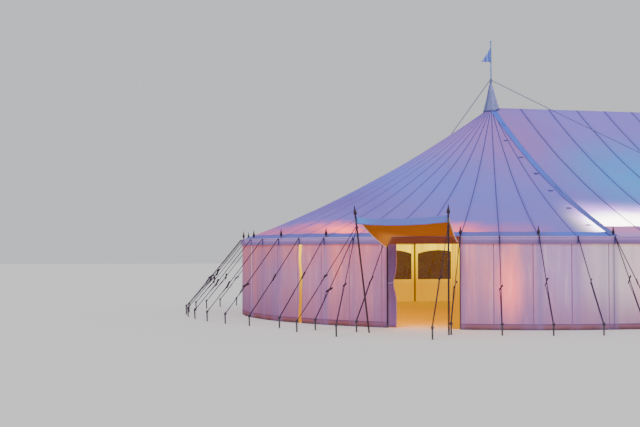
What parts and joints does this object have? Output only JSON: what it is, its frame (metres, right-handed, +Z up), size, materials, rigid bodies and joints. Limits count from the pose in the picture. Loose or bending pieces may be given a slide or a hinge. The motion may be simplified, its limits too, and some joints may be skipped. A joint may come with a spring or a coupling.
{
  "type": "pole marquee tent",
  "caption": "Long white canvas pole marquee with round ends, guyed poles, walls to the ground, a doorway with an awning and clear arched windows behind.",
  "frame": {"origin": "on the ground, midway between the two king poles", "axes": "+X along the ridge towards the plain end, -Y towards the doorway side, +Z up"},
  "size_m": [25.332, 23.6594, 8.1],
  "materials": {
    "roof_canvas": "white canvas, cool in the dusk",
    "wall_canvas": "white wall canvas in soft folds",
    "cover_canvas": "blue-grey canvas flap",
    "awning_canvas": "canvas, blue outside",
    "clear_sheet": "clear window film",
    "king_pole_wood": "varnished pole",
    "mast_wood": "pale mast",
    "pole_wood": "dark stained wood",
    "rope": "laid rope"
  },
  "bodies": {
    "root": {"roof_left_end": "roof_canvas", "roof_middle": "roof_canvas", "roof_right_end": "roof_canvas", "bonnet_left": "roof_canvas", "bonnet_right": "roof_canvas", "pennant_left": "roof_canvas", "pennant_right": "roof_canvas", "lacing_cover_left": "cover_canvas", "lacing_cover_right": "cover_canvas", "awning_canopy": "awning_canvas", "wall_front": "wall_canvas", "wall_left_front": "wall_canvas", "wall_left_porch": "wall_canvas", "wall_left_side": "wall_canvas", "wall_left_back": "wall_canvas", "wall_back": "wall_canvas", "wall_right_back": "wall_canvas", "wall_right_side": "wall_canvas", "wall_right_front": "wall_canvas", "door_curtain": "wall_canvas", "window_sheet_left_back": "clear_sheet", "window_sheet_back": "clear_sheet", "window_sheet_right_back": "clear_sheet", "king_pole_left": "king_pole_wood", "king_pole_right": "king_pole_wood", "flag_mast_left": "mast_wood", "flag_mast_right": "mast_wood", "side_poles_left_front": "pole_wood", "side_poles_left_side": "pole_wood", "side_poles_left_back": "pole_wood", "side_poles_back": "pole_wood", "side_poles_right_back": "pole_wood", "side_poles_right_front": "pole_wood", "side_poles_front": "pole_wood", "awning_pole_left": "pole_wood", "awning_pole_right": "pole_wood", "guys_left_front": "rope", "guys_left_side": "rope", "guys_left_back": "rope", "guys_back": "rope", "guys_right_back": "rope", "guys_right_front": "rope", "guys_front": "rope", "awning_guys_left": "rope", "awning_guys_right": "rope", "main_guy_left_front": "rope", "main_guy_left_back": "rope", "main_guy_right_front": "rope", "main_guy_right_back": "rope"}
  },
  "joints": []
}
